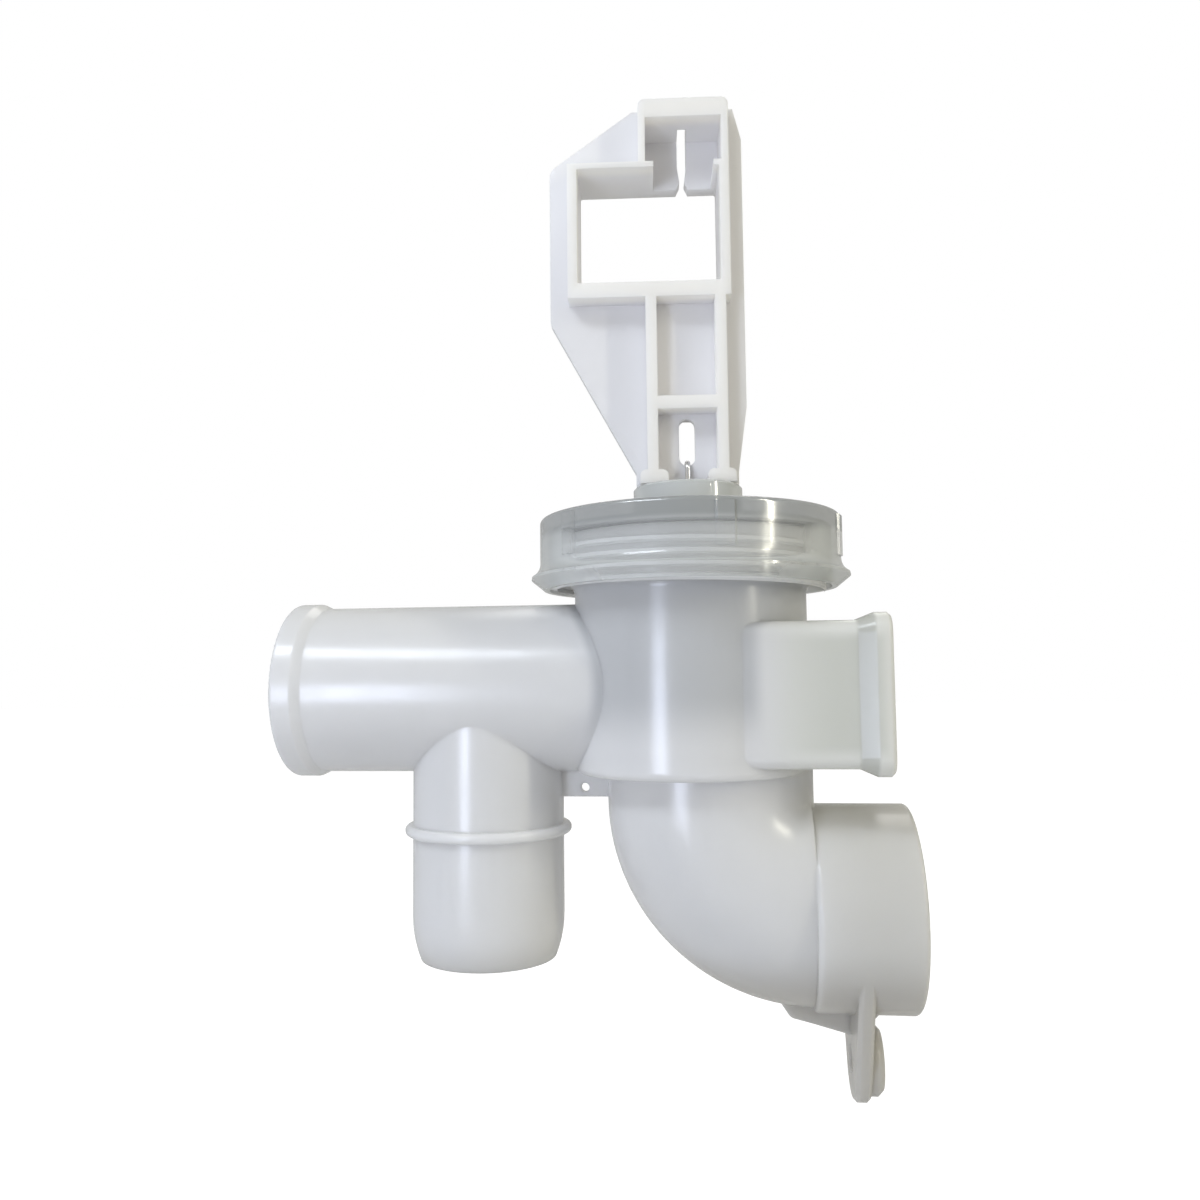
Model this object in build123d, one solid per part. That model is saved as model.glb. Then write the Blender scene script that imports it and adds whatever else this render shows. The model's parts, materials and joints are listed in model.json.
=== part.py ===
from build123d import *
import os
from math import asin, cos, pi, sin, sqrt

# Drain valve of a washing machine, in millimetres, +Z up.
# The origin is the centre of the inlet socket's mouth, with the socket's axis along +X.
# The valve axis is vertical, the outlet pipe points along -X and the lever faces -Y.

# Layout: distances between the axes of the moulding
SOCKET_REACH = 45.5
OUTLET_RISE = 47.0
OUTLET_REACH = 88.8
BRANCH_OFFSET = 45.4

# Clearances, the lap of pieces joined into one solid, and how far a cut runs past an open face
RUN = 0.3
SLIDE = 0.3
SEAM = 0.01
PAST = 1.0

# Chamber, neck and seat of the body
WALL = 2.6
CHAMBER_R = 25.4
CHAMBER_DEPTH = 18.6
CHAMBER_EDGE_R = 1.6
SHOULDER_RISE = 22.5
SHOULDER_FILLET = 2.2
NECK_STEP = 4.2
NECK_CONE = 3.0
RIM_RISE = 32.2
SEAT_BORE_R = 15.6
SEAT_LIP_W = 2.6
SEAT_LIP_H = 2.6
SEAT_LIP_EDGE = 0.5

# Outlet pipe and branch stub
PIPE_R = 18.5
PIPE_WALL = 2.4
PIPE_BEAD_H = 1.0
PIPE_BEAD_L = 5.6
PIPE_BEAD_EDGE = 0.7
STUB_R = 16.7
STUB_WALL = 2.3
STUB_LENGTH = 58.6
STUB_TAPER_L = 9.4
STUB_TIP_R = 14.9
STUB_BEAD_DROP = 30.9
STUB_BEAD_H = 1.7
STUB_BEAD_W = 2.3
STUB_BEAD_EDGE = 1.05

# Elbow: a tight quarter bend of oval section about an axis along Y
BEND_SHIFT = 1.9
BEND_OUTER_R = 43.2
ELBOW_HALF_W = 22.2
ELBOW_HALF_D = 19.9
PASSAGE_HALF_W = 17.8
PASSAGE_HALF_D = 17.3

# Inlet socket
SOCKET_R = 21.5
SOCKET_WALL = 2.6
SOCKET_DEPTH = 17.0
SOCKET_LAP = 0.3
SOCKET_STEP = 1.1
SOCKET_EDGE = 1.0

# Rectangular overflow port on the chamber's right side
PORT_HALF_D = 23.0
PORT_TOP = 13.0
PORT_BOTTOM = 16.3
PORT_REACH = 39.8
PORT_WALL = 3.0
PORT_CORNER = 2.5
PORT_RIM_H = 1.5
PORT_RIM_L = 3.2
PORT_FLARE_L = 3.4
PORT_EDGE = 0.7

# Screw ear, its boss and the webs that carry it
EAR_T = 3.3
EAR_FACE = 9.9
EAR_R = 8.3
EAR_DROP = 31.6
EAR_SINK = 0.1
EAR_EDGE = 0.7
EAR_BOSS_R = 7.1
EAR_BOSS_H = 2.8
EAR_HOLE_R = 2.75
EAR_BOSS_EDGE = 1.1
WEB_T = 2.6
WEB_START = 27.8
WEB_DROP = 23.1
WEB_SLANT = 2.2
WEB_KNEE_X = 7.1
WEB_KNEE_DROP = 1.2
WEB_END_DROP = 3.2
WEB_CORNER_R = 2.0
WEB_GUSSET = 3.2
TIE_WEB_T = 2.0
TIE_WEB_DROP = 24.0
TIE_HOLE_R = 0.95
TIE_HOLE_DROP = 22.0

# Screw cap with its collar and guide tube
CAP_GAP = 1.4
CAP_SKIRT_T = 2.0
CAP_TOP_T = 2.7
CAP_EDGE_R = 1.0
CAP_FLARE_W = 2.4
CAP_FLARE_H = 3.3
CAP_LIP_H = 2.6
CAP_LIP_EDGE = 0.6
CAP_FOOT_RISE = 21.3
CAP_FOOT_IN = 0.8
GRIP_RIB_COUNT = 6
GRIP_RIB_W = 4.2
GRIP_RIB_H = 0.5
GRIP_RIB_EDGE = 0.45
GRIP_RIB_ANGLE = 14.0
COLLAR_R = 12.1
COLLAR_T = 2.2
COLLAR_RISE = 44.0
COLLAR_EDGE = 0.5
GUIDE_TUBE_L = 11.0
GUIDE_TUBE_T = 1.6

# Guide sleeve
SLEEVE_WALL = 1.8
SLEEVE_TOP_DROP = 0.4
KEY_DEPTH = 1.0
STOP_RING_R = 11.3
STOP_RING_W = 1.5
STOP_RING_T = 2.0
PLUG_FLANGE_R = 14.0
PLUG_FLANGE_T = 2.0
GROOVE_R = 11.4
GROOVE_T = 1.8
SPRING_SEAT_RIM = 0.8
SPRING_SEAT_T = 1.8
HOOK_BAR_R = 1.2
HOOK_BAR_RISE = 6.0

# Travel: how far the plug lifts, and how far the lever can be pulled beyond that
LIFT = 12.0
OVERTRAVEL = 4.0

# Rubber bellows with its plug
RUBBER_T = 1.1
PLUG_OVERLAP = 2.2
PLUG_T = 2.4
PLUG_EDGE = 0.8
BELLOWS_IN_GAP = 0.8
BELLOWS_OUT_GAP = 1.9
BELLOWS_FOLDS = 5
BELLOWS_FLANGE_T = 1.9
BELLOWS_TOP_GAP = 2.6

# Springs
OUTER_WIRE_R = 0.8
OUTER_COIL_R = 13.3
OUTER_TURNS = 7
INNER_WIRE_R = 0.6
INNER_COIL_R = 3.2
INNER_PITCH = 1.9
INNER_TURNS = 12
INNER_LEAD = 4.5
HOOK_TAIL = 2.5
RING_ANGLE = 300.0
WIRE_GAP = 0.2
HOOK_GAP = 0.5
COIL_STEPS = 12
SMALL_COIL_STEPS = 8
WIRE_SIDES = 6

# Pull lever
LEVER_YAW = 3.8
PLATE_T = 2.5
FRONT = 6.5
BACK = 8.5
LEVER_TOP = 131.4
LEFT_EDGE = 30.4
RIGHT_EDGE = 13.4
LEFT_CORNER_LOW = 82.0
LEFT_CORNER_HIGH = 118.0
LEFT_CORNER_R = 3.0
DIAGONAL_TOP_X = 11.5
RIGHT_CORNER_LOW = 62.0
RIGHT_CORNER_HIGH = 124.0
FOOT_LINE = 47.3
FOOT_HALF_W = 11.4
FRAME_T = 2.2
FRAME_BOTTOM_T = 3.4
FRAME_TOP_T = 1.3
WINDOW_LEFT = 23.9
WINDOW_RIGHT = 7.9
WINDOW_LOW = 89.4
WINDOW_HIGH = 115.7
BLOCK_HALF_W = 10.1
BLOCK_TOP_T = 4.2
POCKET_HALF_W = 8.5
POCKET_FLOOR_T = 3.5
POCKET_MOUTH_HALF_W = 6.7
CABLE_SLOT_W = 2.1
CABLE_PINCH_W = 1.1
CABLE_FLARE_W = 2.8
CABLE_TAPER_TOP = 121.0
CABLE_PINCH_RISE = 1.8
CABLE_SLOT_FRONT = 0.5
RIB_IN = 6.45
RIB_T = 2.45
CROSS_RIB_LOW = 60.7
CROSS_RIB_T = 2.9
SPRING_SLOT_W = 3.6
SPRING_SLOT_LOW = 49.0
SPRING_SLOT_H = 10.6
FOOT_IN = 4.3
FOOT_OUT = 10.5
FOOT_R = 1.4
STEM_GRIP = 13.0
STEM_RIB_X = 5.0
STEM_RIB_T = 1.5
LEVER_EDGE = 0.5

# Places that follow from the sizes above
VALVE_X = -SOCKET_REACH
BEND_X = VALVE_X + BEND_SHIFT + BEND_OUTER_R - WALL - PASSAGE_HALF_W
BEND_Z = BEND_OUTER_R - SOCKET_R + SOCKET_STEP
NECK_R = CHAMBER_R + NECK_STEP
CAP_BORE_R = NECK_R + CAP_GAP
CAP_R = CAP_BORE_R + CAP_SKIRT_T
CAP_FLARE_R = CAP_R + CAP_FLARE_W
FLOOR_OUT_Z = OUTLET_RISE - CHAMBER_DEPTH
FLOOR_Z = FLOOR_OUT_Z + WALL
SEAT_Z = FLOOR_Z + SEAT_LIP_H
SHOULDER_Z = OUTLET_RISE + SHOULDER_RISE
RIM_Z = OUTLET_RISE + RIM_RISE
CAP_IN_Z = RIM_Z + BELLOWS_FLANGE_T
CAP_TOP_Z = CAP_IN_Z + CAP_TOP_T
CAP_FOOT_Z = OUTLET_RISE + CAP_FOOT_RISE
COLLAR_Z = OUTLET_RISE + COLLAR_RISE
GUIDE_END_Z = CAP_IN_Z - GUIDE_TUBE_L
STUB_X = VALVE_X - BRANCH_OFFSET
COLLAR_BORE_R = COLLAR_R - COLLAR_T
SLEEVE_R = COLLAR_BORE_R - RUN
SLEEVE_BORE_R = SLEEVE_R - SLEEVE_WALL
SLEEVE_TOP_Z = COLLAR_Z - SLEEVE_TOP_DROP
PLUG_TOP_Z = SEAT_Z + PLUG_T
GROOVE_Z = PLUG_TOP_Z + PLUG_FLANGE_T
SPRING_SEAT_Z = GROOVE_Z + GROOVE_T
SPRING_FLOOR_Z = SPRING_SEAT_Z + SPRING_SEAT_T
SPRING_SEAT_R = OUTER_COIL_R + OUTER_WIRE_R + SPRING_SEAT_RIM
BELLOWS_IN_R = SPRING_SEAT_R + BELLOWS_IN_GAP
BELLOWS_OUT_R = CHAMBER_R - WALL - BELLOWS_OUT_GAP
PLUG_R = SEAT_BORE_R + SEAT_LIP_W + PLUG_OVERLAP
STOP_RING_Z = GUIDE_END_Z - RUN - LIFT - STOP_RING_T
HOOK_BAR_Z = SPRING_FLOOR_Z + HOOK_BAR_RISE
LEVER_FOOT_Z = COLLAR_Z + RUN
STEM_LENGTH = STEM_GRIP + OVERTRAVEL


def upright(sketch):
    """Sketch of (x, height) turned up into the plane of the valve axis and the pipes."""
    return Plane.XZ * sketch


def outline(*points):
    """Face with straight sides between (x, height) points."""
    return make_face(Polyline([(x, z) for x, z in points], close=True))


def rounded(face, radius, *corners):
    """Face with the corners nearest to the named points rounded."""
    picked = [face.vertices().sort_by_distance(corner)[0] for corner in corners]
    return fillet(picked, radius)


def bevelled(face, length, *corners):
    """Face with the corners nearest to the named points cut off."""
    picked = [face.vertices().sort_by_distance(corner)[0] for corner in corners]
    return chamfer(picked, length)


def turned(face):
    """Solid of revolution about Z from a face of (radius, height)."""
    return revolve(upright(face), Axis.Z)


def on_valve(solid):
    """Solid moved from Z to the valve axis."""
    return Pos(VALVE_X, 0, 0) * solid


def bar_x(radius, x0, x1, z=0.0):
    """Round bar along X between two places."""
    return extrude(Plane((x0, 0, z), x_dir=(0, 1, 0), z_dir=(1, 0, 0)) * Circle(radius), x1 - x0)


def bar_z(radius, x, z0, z1):
    """Round bar along Z between two heights."""
    return extrude(Pos(x, 0, z0) * Circle(radius), z1 - z0)


def slab(x0, x1, y0, y1, z0, z1):
    """Block between two corners."""
    return Pos((x0 + x1) / 2, (y0 + y1) / 2, (z0 + z1) / 2) * Box(x1 - x0, y1 - y0, z1 - z0)


def plate(face, front, back):
    """Plate from a face of (x, height), from its front depth to its back depth."""
    return Pos(0, back, 0) * extrude(upright(face), front + back)


def along(piece, steps):
    """Points at even steps along a line or an arc, without its start."""
    return [piece @ (number / steps) for number in range(1, steps + 1)]


def turns_up(radius, low, high, count, steps, start=0.0):
    """Points of a coil about Z from one height to another, without its start."""
    points = []
    for number in range(1, count * steps + 1):
        angle = start + 2 * pi * number / steps
        z = low + (high - low) * number / (count * steps)
        points.append((radius * cos(angle), radius * sin(angle), z))
    return points


def wire_through(radius, points):
    """Wire of six sides bent through points."""
    path = Polyline(*points)
    section = Plane(path @ 0, z_dir=path % 0) * RegularPolygon(radius, WIRE_SIDES)
    return sweep(section, path, transition=Transition.RIGHT)


def oval(half_w, half_d, x, z0, z1):
    """Upright bar of oval section."""
    return extrude(Pos(x, 0, z0) * Ellipse(half_w, half_d), z1 - z0)


def elbow(half_w, half_d, centre_r):
    """Quarter bend of oval section, cut off where it would pass the bend axis."""
    reach = centre_r + half_w
    section = Pos(BEND_X - centre_r, 0, BEND_Z) * Ellipse(half_w, half_d)
    section &= Pos(BEND_X - reach / 2, 0, BEND_Z) * Rectangle(reach - 2 * SEAM, 4 * half_d)
    return revolve(section, Axis((BEND_X, 0, BEND_Z), (0, -1, 0)), 90)


def chamber_outside():
    """Round chamber with a rounded floor edge, and the wider neck that the cap screws on."""
    face = outline(
        (0, FLOOR_OUT_Z), (CHAMBER_R, FLOOR_OUT_Z), (CHAMBER_R, SHOULDER_Z),
        (NECK_R, SHOULDER_Z), (NECK_R, RIM_Z), (0, RIM_Z),
    )
    face = rounded(face, CHAMBER_EDGE_R, (CHAMBER_R, FLOOR_OUT_Z))
    face = rounded(face, SHOULDER_FILLET, (CHAMBER_R, SHOULDER_Z))
    return on_valve(turned(face))


def chamber_inside():
    """Hollow of the chamber, which opens out to the neck's bore."""
    bore_r = CHAMBER_R - WALL
    neck_bore_r = NECK_R - WALL
    return on_valve(turned(outline(
        (0, FLOOR_Z), (bore_r, FLOOR_Z), (bore_r, SHOULDER_Z),
        (neck_bore_r, SHOULDER_Z + NECK_CONE), (neck_bore_r, RIM_Z + PAST), (0, RIM_Z + PAST),
    )))


def seat():
    """Raised lip round the valve's opening, on which the plug closes."""
    outer = SEAT_BORE_R + SEAT_LIP_W
    low = FLOOR_Z - WALL / 2
    face = outline((SEAT_BORE_R, low), (outer, low), (outer, SEAT_Z), (SEAT_BORE_R, SEAT_Z))
    return on_valve(turned(bevelled(face, SEAT_LIP_EDGE, (outer, SEAT_Z), (SEAT_BORE_R, SEAT_Z))))


def outlet_outside():
    """Outlet pipe along -X with a rounded bead at its end."""
    bead_r = PIPE_R + PIPE_BEAD_H
    end = -OUTLET_REACH
    start = end + PIPE_BEAD_L
    face = outline(
        (end, 0), (end, bead_r), (start - PIPE_BEAD_H, bead_r), (start + PIPE_BEAD_H, PIPE_R),
        (-CHAMBER_R / 2, PIPE_R), (-CHAMBER_R / 2, 0),
    )
    face = rounded(face, PIPE_BEAD_EDGE, (end, bead_r))
    return Pos(VALVE_X, 0, OUTLET_RISE) * revolve(upright(face), Axis.X)


def outlet_bore():
    """Bore of the outlet pipe, open into the chamber."""
    inner = VALVE_X - CHAMBER_R / 4
    return bar_x(PIPE_R - PIPE_WALL, VALVE_X - OUTLET_REACH - PAST, inner, OUTLET_RISE)


def stub_outside():
    """Branch stub that hangs from the outlet pipe, with a hose bead and a drawn-in tip."""
    tip = -STUB_LENGTH
    taper = tip + STUB_TAPER_L
    bead_r = STUB_R + STUB_BEAD_H
    sag = STUB_R - STUB_TIP_R
    arc_r = (sag ** 2 + STUB_TAPER_L ** 2) / (2 * sag)
    side = make_face([
        Line((0, 0), (0, tip)),
        Line((0, tip), (STUB_TIP_R, tip)),
        RadiusArc((STUB_TIP_R, tip), (STUB_R, taper), -arc_r),
        Line((STUB_R, taper), (STUB_R, 0)),
        Line((STUB_R, 0), (0, 0)),
    ])
    bead = outline(
        (0, -STUB_BEAD_DROP - STUB_BEAD_W / 2), (bead_r, -STUB_BEAD_DROP - STUB_BEAD_W / 2),
        (bead_r, -STUB_BEAD_DROP + STUB_BEAD_W / 2), (0, -STUB_BEAD_DROP + STUB_BEAD_W / 2),
    )
    low = (bead_r, -STUB_BEAD_DROP - STUB_BEAD_W / 2)
    high = (bead_r, -STUB_BEAD_DROP + STUB_BEAD_W / 2)
    bead = rounded(bead, STUB_BEAD_EDGE, low, high)
    return Pos(STUB_X, 0, OUTLET_RISE) * (turned(side) + turned(bead))


def stub_bore():
    """Bore of the branch stub, open into the outlet pipe."""
    return bar_z(STUB_R - STUB_WALL, STUB_X, OUTLET_RISE - STUB_LENGTH - PAST, OUTLET_RISE)


def elbow_outside():
    """Tight bend from the chamber's floor to the socket."""
    centre_r = BEND_OUTER_R - ELBOW_HALF_W
    centre_x = BEND_X - centre_r
    bend = elbow(ELBOW_HALF_W, ELBOW_HALF_D, centre_r)
    neck = oval(ELBOW_HALF_W, ELBOW_HALF_D, centre_x, BEND_Z, FLOOR_OUT_Z + WALL / 2)
    foot = oval(ELBOW_HALF_W, ELBOW_HALF_D, centre_x, 0, BEND_Z)
    foot &= slab(BEND_X - WALL, BEND_X + WALL, -ELBOW_HALF_D, ELBOW_HALF_D, 0, BEND_Z)
    return bend + neck + foot


def elbow_inside():
    """Water's way from the socket's bore up to the seat, swept along its middle line."""
    centre_r = BEND_OUTER_R - WALL - PASSAGE_HALF_W
    centre_x = BEND_X - centre_r
    low_z = BEND_Z - centre_r
    half = centre_r * sin(pi / 4)
    path = Wire([
        Line((centre_x, 0, FLOOR_OUT_Z), (centre_x, 0, BEND_Z)),
        ThreePointArc((centre_x, 0, BEND_Z), (BEND_X - half, 0, BEND_Z - half), (BEND_X, 0, low_z)),
        Line((BEND_X, 0, low_z), (PAST - SOCKET_DEPTH, 0, low_z)),
    ])
    section = Plane(path @ 0, x_dir=(1, 0, 0), z_dir=(0, 0, -1)) * Ellipse(PASSAGE_HALF_W, PASSAGE_HALF_D)
    return sweep(section, path)


def socket_outside():
    """Inlet socket, a little larger than the bend that it ends."""
    start = BEND_X - SOCKET_LAP
    face = outline((start, 0), (start, SOCKET_R), (0, SOCKET_R), (0, 0))
    face = rounded(face, SOCKET_EDGE, (start, SOCKET_R), (0, SOCKET_R))
    return revolve(upright(face), Axis.X)


def port_outside():
    """Rectangular overflow port, which flares out to a flat rim."""
    height = PORT_TOP + PORT_BOTTOM
    middle = OUTLET_RISE + (PORT_TOP - PORT_BOTTOM) / 2
    end = VALVE_X + PORT_REACH
    rim_start = end - PORT_RIM_L

    def section(x, grow):
        across = Plane((x, 0, middle), x_dir=(0, 1, 0), z_dir=(1, 0, 0))
        size = RectangleRounded(2 * (PORT_HALF_D + grow), height + 2 * grow, PORT_CORNER + grow)
        return across * size

    duct = extrude(section(VALVE_X + CHAMBER_R / 5, 0), end - VALVE_X - CHAMBER_R / 5)
    flare = loft([section(rim_start - PORT_FLARE_L, 0), section(rim_start, PORT_RIM_H)])
    rim = extrude(section(rim_start, PORT_RIM_H), PORT_RIM_L)
    rim = chamfer(rim.edges().group_by(Axis.X)[-1], PORT_EDGE)
    return duct + flare + rim


def port_inside():
    """Hollow of the overflow port, open into the chamber."""
    half = PORT_HALF_D - PORT_WALL
    low = OUTLET_RISE - PORT_BOTTOM + PORT_WALL
    high = OUTLET_RISE + PORT_TOP - PORT_WALL
    start = VALVE_X + CHAMBER_R / 5
    return slab(start, VALVE_X + PORT_REACH + PAST, -half, half, low, high)


def ear():
    """Screw ear whose sides run off the socket, with a boss round its hole."""
    across = Plane((-EAR_FACE - EAR_T, 0, 0), x_dir=(0, 1, 0), z_dir=(1, 0, 0))
    socket_r = SOCKET_R - EAR_SINK
    tilt = asin((socket_r - EAR_R) / EAR_DROP)
    top = (socket_r * cos(tilt), -socket_r * sin(tilt))
    low = (EAR_R * cos(tilt), -EAR_DROP - EAR_R * sin(tilt))
    face = make_face([
        Line((-top[0], top[1]), top),
        Line(top, low),
        ThreePointArc(low, (0, -EAR_DROP - EAR_R), (-low[0], low[1])),
        Line((-low[0], low[1]), (-top[0], top[1])),
    ])
    sheet = extrude(across * face, EAR_T)
    rims = sheet.edges().group_by(Axis.X)
    sheet = chamfer(rims[0] + rims[-1], EAR_EDGE)
    boss = bar_x(EAR_BOSS_R, -EAR_FACE - EAR_T / 2, -EAR_FACE + EAR_BOSS_H, -EAR_DROP)
    boss = chamfer(boss.edges().group_by(Axis.X)[-1], EAR_BOSS_EDGE)
    return sheet + boss


def webs():
    """Thin web under the bend, a small one behind the ear's boss, and one beside the stub."""
    inside_z = BEND_Z - BEND_OUTER_R + 2 * WALL
    meet_z = BEND_Z - sqrt(BEND_OUTER_R ** 2 - (WEB_START + BEND_X) ** 2)
    low_corner = (-WEB_START + WEB_SLANT, -WEB_DROP)
    under = outline(
        (-WEB_START, inside_z), (-WEB_START, meet_z), low_corner,
        (-WEB_START + WEB_KNEE_X, -WEB_DROP - WEB_KNEE_DROP),
        (-EAR_FACE - EAR_T, -WEB_DROP - WEB_END_DROP), (-EAR_FACE - EAR_T, inside_z),
    )
    under = rounded(under, WEB_CORNER_R, low_corner)
    wall_z = -SOCKET_R + SOCKET_WALL / 2
    behind = outline(
        (-EAR_FACE, wall_z), (-EAR_FACE, -SOCKET_R - WEB_GUSSET), (-EAR_FACE + WEB_GUSSET, -SOCKET_R),
        (-EAR_FACE + WEB_GUSSET, wall_z),
    )
    tie = box_face(STUB_X + STUB_R - STUB_WALL / 2, BEND_X - BEND_OUTER_R + WALL / 2,
                   OUTLET_RISE - TIE_WEB_DROP, FLOOR_OUT_Z + WALL / 2)
    half = WEB_T / 2
    tie_half = TIE_WEB_T / 2
    return plate(under, half, half) + plate(behind, half, half) + plate(tie, tie_half, tie_half)


def make_valve_body():
    """One-piece moulding: chamber, neck, outlet, branch stub, bend, socket, port and ear."""
    tie_x = (STUB_X + STUB_R + BEND_X - BEND_OUTER_R) / 2
    tie_z = OUTLET_RISE - TIE_HOLE_DROP
    body = chamber_outside() + outlet_outside() + stub_outside() + elbow_outside()
    body = body + socket_outside() + port_outside() + ear() + webs()
    body -= chamber_inside()
    body -= outlet_bore()
    body -= stub_bore()
    body -= elbow_inside()
    body -= bar_x(SOCKET_R - SOCKET_WALL, -SOCKET_DEPTH, PAST)
    body -= port_inside()
    body -= bar_z(SEAT_BORE_R, VALVE_X, FLOOR_OUT_Z - PAST, FLOOR_Z + PAST)
    body -= bar_x(EAR_HOLE_R, -EAR_FACE - EAR_T - PAST, -EAR_FACE + EAR_BOSS_H + PAST, -EAR_DROP)
    body -= Pos(0, TIE_WEB_T, 0) * extrude(upright(Pos(tie_x, tie_z) * Circle(TIE_HOLE_R)), 2 * TIE_WEB_T)
    return body + seat()


def make_bonnet():
    """Screw cap: flared skirt, flat top, collar for the lever and guide tube for the sleeve."""
    foot_r = CAP_R - CAP_FOOT_IN
    guide_r = COLLAR_BORE_R + GUIDE_TUBE_T
    flare_z = CAP_FOOT_Z + CAP_LIP_H
    flare_r = (CAP_FLARE_W ** 2 + CAP_FLARE_H ** 2) / (2 * CAP_FLARE_W)
    skirt = make_face([
        Line((CAP_BORE_R, CAP_FOOT_Z), (foot_r, CAP_FOOT_Z)),
        Line((foot_r, CAP_FOOT_Z), (CAP_FLARE_R, flare_z)),
        RadiusArc((CAP_FLARE_R, flare_z), (CAP_R, flare_z + CAP_FLARE_H), flare_r),
        Line((CAP_R, flare_z + CAP_FLARE_H), (CAP_R, CAP_TOP_Z)),
        Line((CAP_R, CAP_TOP_Z), (COLLAR_R, CAP_TOP_Z)),
        Line((COLLAR_R, CAP_TOP_Z), (COLLAR_R, COLLAR_Z)),
        Line((COLLAR_R, COLLAR_Z), (COLLAR_BORE_R, COLLAR_Z)),
        Line((COLLAR_BORE_R, COLLAR_Z), (COLLAR_BORE_R, GUIDE_END_Z)),
        Line((COLLAR_BORE_R, GUIDE_END_Z), (guide_r, GUIDE_END_Z)),
        Line((guide_r, GUIDE_END_Z), (guide_r, CAP_IN_Z)),
        Line((guide_r, CAP_IN_Z), (CAP_BORE_R, CAP_IN_Z)),
        Line((CAP_BORE_R, CAP_IN_Z), (CAP_BORE_R, CAP_FOOT_Z)),
    ])
    skirt = rounded(skirt, CAP_EDGE_R, (CAP_R, CAP_TOP_Z))
    skirt = bevelled(skirt, CAP_LIP_EDGE, (CAP_FLARE_R, flare_z))
    skirt = bevelled(skirt, COLLAR_EDGE, (COLLAR_R, COLLAR_Z), (COLLAR_BORE_R, COLLAR_Z))
    cap = turned(skirt)
    low = flare_z + CAP_FLARE_H
    high = CAP_TOP_Z - CAP_EDGE_R
    mid_r = CAP_R - CAP_SKIRT_T / 2
    rib = slab(-GRIP_RIB_W / 2, GRIP_RIB_W / 2, -CAP_R - GRIP_RIB_H, -mid_r, low, high)
    rib = chamfer(rib.edges().filter_by(Axis.Z).group_by(Axis.Y)[0], GRIP_RIB_EDGE)
    for number in range(GRIP_RIB_COUNT):
        cap += Rot(0, 0, GRIP_RIB_ANGLE + number * 360 / GRIP_RIB_COUNT) * rib
    return on_valve(cap)


def make_guide_sleeve():
    """Sleeve with its plug flange, spring seat, stop ring, keyways and the bar for the hook."""
    face = outline(
        (0, PLUG_TOP_Z), (PLUG_FLANGE_R, PLUG_TOP_Z), (PLUG_FLANGE_R, GROOVE_Z),
        (GROOVE_R, GROOVE_Z), (GROOVE_R, SPRING_SEAT_Z), (SPRING_SEAT_R, SPRING_SEAT_Z),
        (SPRING_SEAT_R, SPRING_FLOOR_Z), (SLEEVE_R, SPRING_FLOOR_Z), (SLEEVE_R, STOP_RING_Z - STOP_RING_W),
        (STOP_RING_R, STOP_RING_Z), (STOP_RING_R, STOP_RING_Z + STOP_RING_T),
        (SLEEVE_R, STOP_RING_Z + STOP_RING_T),
        (SLEEVE_R, SLEEVE_TOP_Z), (SLEEVE_BORE_R, SLEEVE_TOP_Z), (SLEEVE_BORE_R, SPRING_SEAT_Z),
        (0, SPRING_SEAT_Z),
    )
    sleeve = turned(face)
    key_r = SLEEVE_BORE_R + KEY_DEPTH
    key_half = PLATE_T / 2 + SLIDE
    key_z = LEVER_FOOT_Z - STEM_LENGTH - SLIDE
    keyway = slab(-key_r, key_r, -key_half, key_half, key_z, SLEEVE_TOP_Z + PAST)
    sleeve -= Rot(0, 0, LEVER_YAW) * keyway
    half = SLEEVE_BORE_R + SLEEVE_WALL / 2
    bar = extrude(Plane((0, half, HOOK_BAR_Z), x_dir=(1, 0, 0), z_dir=(0, -1, 0)) * Circle(HOOK_BAR_R), 2 * half)
    return on_valve(sleeve + Rot(0, 0, LEVER_YAW) * bar)


def bellows_wall():
    """Folded wall of the bellows, a zigzag that runs from the plug up to the clamped flange."""
    low = SPRING_FLOOR_Z
    high = RIM_Z - BELLOWS_TOP_GAP
    step = (high - low) / (2 * BELLOWS_FOLDS)
    inside = []
    outside = []
    for number in range(2 * BELLOWS_FOLDS + 1):
        z = low + number * step
        is_out = number % 2 == 1
        inside.append((BELLOWS_OUT_R - RUBBER_T if is_out else BELLOWS_IN_R, z))
        outside.append((BELLOWS_OUT_R if is_out else BELLOWS_IN_R + RUBBER_T, z))
    return inside, outside


def make_bellows_seal():
    """Rubber seal: flat plug snapped round the sleeve's flange, folded wall and clamped flange."""
    inside, outside = bellows_wall()
    flange_r = NECK_R - RUN
    low_in_r = inside[0][0]
    face = outline(
        (0, SEAT_Z), (PLUG_R, SEAT_Z), (PLUG_R, PLUG_TOP_Z), (outside[0][0], GROOVE_Z + GROOVE_T / 2),
        *outside, (outside[-1][0], RIM_Z), (flange_r, RIM_Z), (flange_r, CAP_IN_Z),
        (inside[-1][0], CAP_IN_Z), *reversed(inside), (low_in_r, SPRING_SEAT_Z),
        (GROOVE_R, SPRING_SEAT_Z), (GROOVE_R, GROOVE_Z), (PLUG_FLANGE_R, GROOVE_Z),
        (PLUG_FLANGE_R, PLUG_TOP_Z), (0, PLUG_TOP_Z),
    )
    face = bevelled(face, PLUG_EDGE, (PLUG_R, SEAT_Z), (PLUG_R, PLUG_TOP_Z))
    return on_valve(turned(face))


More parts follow.
